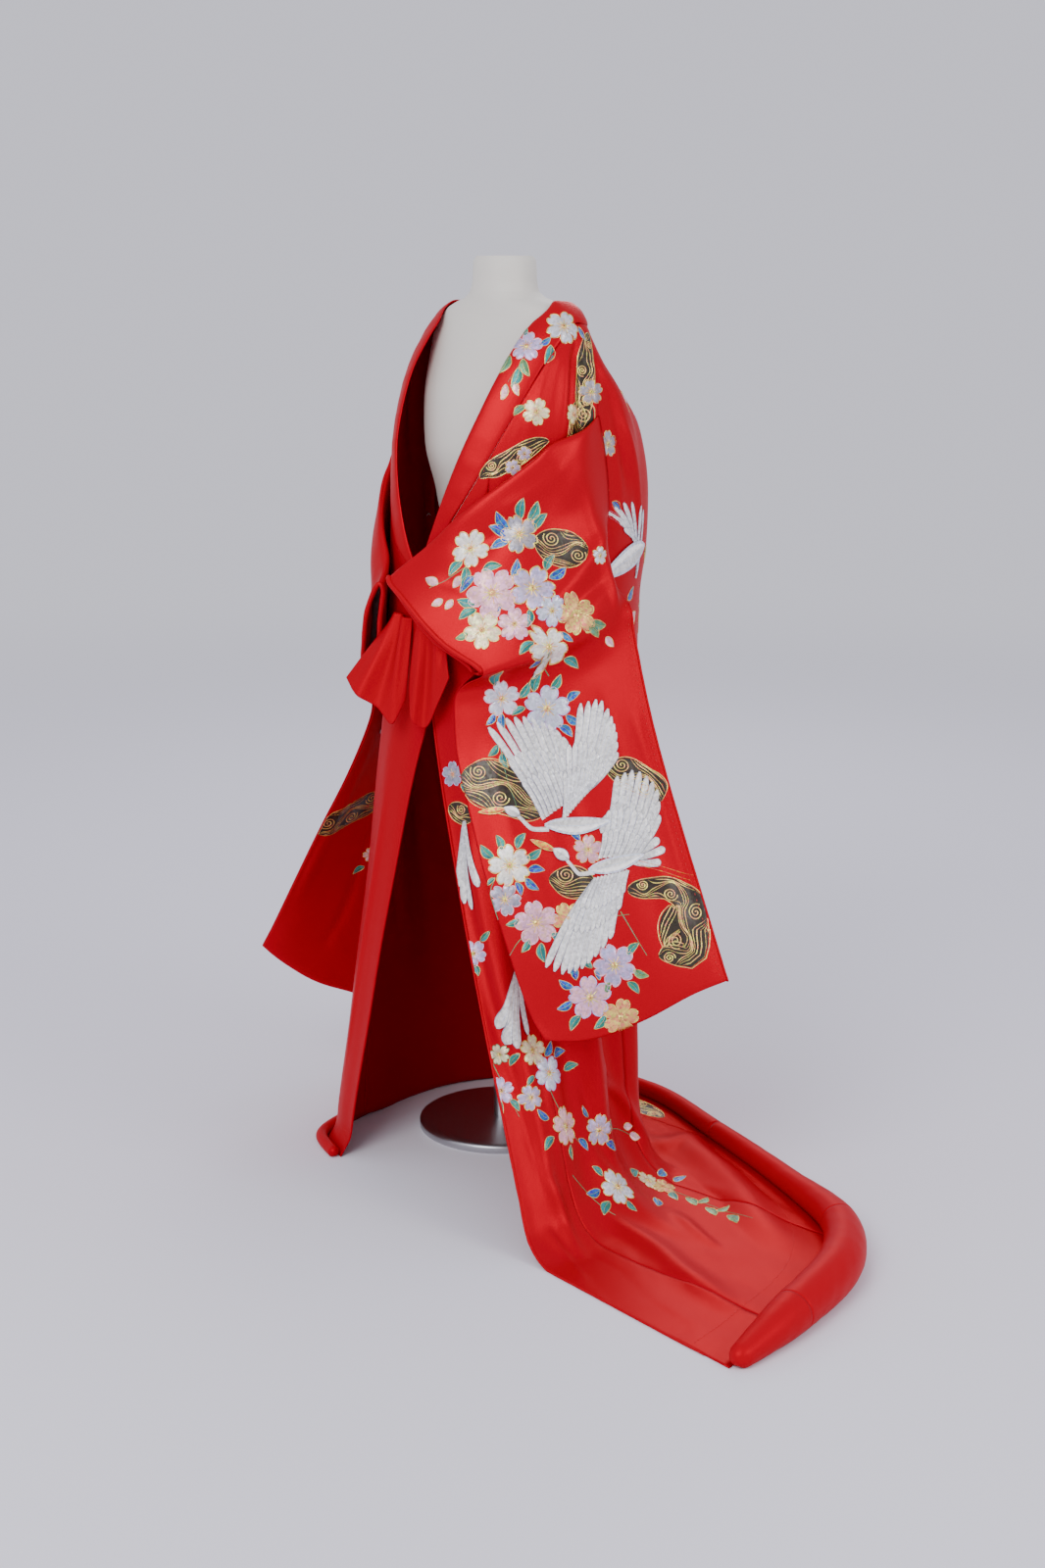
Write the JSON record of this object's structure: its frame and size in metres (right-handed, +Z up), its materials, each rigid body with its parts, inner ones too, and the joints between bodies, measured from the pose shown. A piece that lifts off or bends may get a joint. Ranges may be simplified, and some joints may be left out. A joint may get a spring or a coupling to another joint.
{
  "type": "uchikake wedding kimono on a dress form",
  "caption": "Full-length open wedding over-robe with long hanging sleeves, collar band, padded hem and a train spread to one side, worn by a limbless dress form on a round stand.",
  "frame": {"origin": "centre of the underside of the stand's round base, on the floor", "axes": "+Z up; the wearer faces -Y; the wearer's left is +X, the side that the train is spread to"},
  "size_m": [1.3089, 0.6354, 1.49],
  "materials": {
    "red_satin": "smooth heavy silk satin with woven motifs",
    "red_lining": "plain red silk",
    "form_cover": "smooth ivory cover",
    "stand_metal": "satin"
  },
  "bodies": {
    "root": {"okumi_left": "red_satin", "front_left": "red_satin", "back_left": "red_satin", "back_right": "red_satin", "front_right": "red_satin", "okumi_right": "red_satin", "collar": "red_satin", "sleeve_left": "red_satin", "sleeve_right": "red_satin", "tuck_left": "red_lining", "tuck_right": "red_lining", "hem_roll_okumi_left": "red_lining", "hem_roll_front_left": "red_lining", "hem_roll_back_left": "red_lining", "hem_roll_back_right": "red_lining", "hem_roll_front_right": "red_lining", "hem_roll_okumi_right": "red_lining", "form_torso": "form_cover", "stand_pole": "stand_metal", "stand_base": "stand_metal"}
  },
  "joints": []
}
